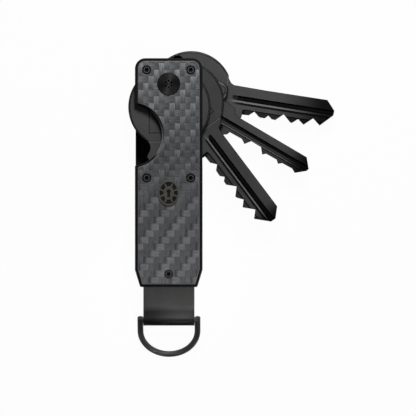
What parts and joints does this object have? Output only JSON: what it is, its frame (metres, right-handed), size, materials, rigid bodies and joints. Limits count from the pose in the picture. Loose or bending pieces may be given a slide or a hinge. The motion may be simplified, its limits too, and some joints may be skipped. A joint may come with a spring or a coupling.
{
  "type": "key organiser",
  "caption": "Compact key organiser: carbon-faced steel plates clamp a stack of keys on one pivot, with a thumb notch and a D-ring on a folded strap.",
  "frame": {"origin": "middle of the rear face, which lies flat on the table", "axes": "+Y towards the pivot end, +Z out of the front face, +X to the side the keys open on"},
  "size_m": [0.0638, 0.095, 0.0165],
  "materials": {
    "black_steel": "black oxide coating, bevelled rim, satin",
    "carbon": "2/2 twill carbon fibre under a clear satin resin",
    "pivot_steel": "black, finely turned in circles",
    "screw_steel": "black zinc, satin, light wear in the sockets",
    "key_steel": "black coated, bead blasted, worn at the edges",
    "washer_steel": "plain steel, fine brushed",
    "post_steel": "dark steel, turned",
    "spacer_alloy": "black anodised, matte",
    "strap_steel": "smooth black coating on spring steel, satin",
    "ring_steel": "black coated wire, satin",
    "pewter": "dark pewter, matte with rubbed high spots"
  },
  "bodies": {
    "body": {"front_scale": "carbon", "rear_scale": "carbon", "front_liner": "black_steel", "rear_liner": "black_steel", "badge": "pewter", "pivot_barrel": "pivot_steel", "pivot_screw": "pivot_steel", "rear_washer": "washer_steel", "top_key_washer": "washer_steel", "middle_key_washer": "washer_steel", "low_key_washer": "washer_steel", "spring_washer": "washer_steel", "stop_post": "post_steel", "end_post": "post_steel", "front_spacer": "spacer_alloy", "rear_spacer": "spacer_alloy", "strap": "strap_steel", "front_plate_screws": "screw_steel", "front_post_screws": "screw_steel", "rear_plate_screws": "screw_steel", "rear_post_screws": "screw_steel"},
    "folded_key": {"folded_key": "key_steel"},
    "low_key": {"low_key": "key_steel"},
    "middle_key": {"middle_key": "key_steel"},
    "top_key": {"top_key": "key_steel"},
    "d_ring": {"d_ring": "ring_steel"}
  },
  "joints": [
    {"name": "folded_key_pivot", "type": "hinge", "parent": "body", "child": "folded_key", "pos_m": [0, 0.02725, 0.00805], "axis": [0, 0, 1], "range_deg": [0, 180]},
    {"name": "low_key_pivot", "type": "hinge", "parent": "body", "child": "low_key", "pos_m": [0, 0.02725, 0.00805], "axis": [0, 0, 1], "range_deg": [-36.9, 143.1]},
    {"name": "middle_key_pivot", "type": "hinge", "parent": "body", "child": "middle_key", "pos_m": [0, 0.02725, 0.00805], "axis": [0, 0, 1], "range_deg": [-59.67, 120.33]},
    {"name": "top_key_pivot", "type": "hinge", "parent": "body", "child": "top_key", "pos_m": [0, 0.02725, 0.00805], "axis": [0, 0, 1], "range_deg": [-81.02, 98.98]},
    {"name": "ring_hinge", "type": "hinge", "parent": "body", "child": "d_ring", "pos_m": [0, -0.04555, 0.00805], "axis": [-1, 0, 0], "range_deg": [0, 170]}
  ]
}
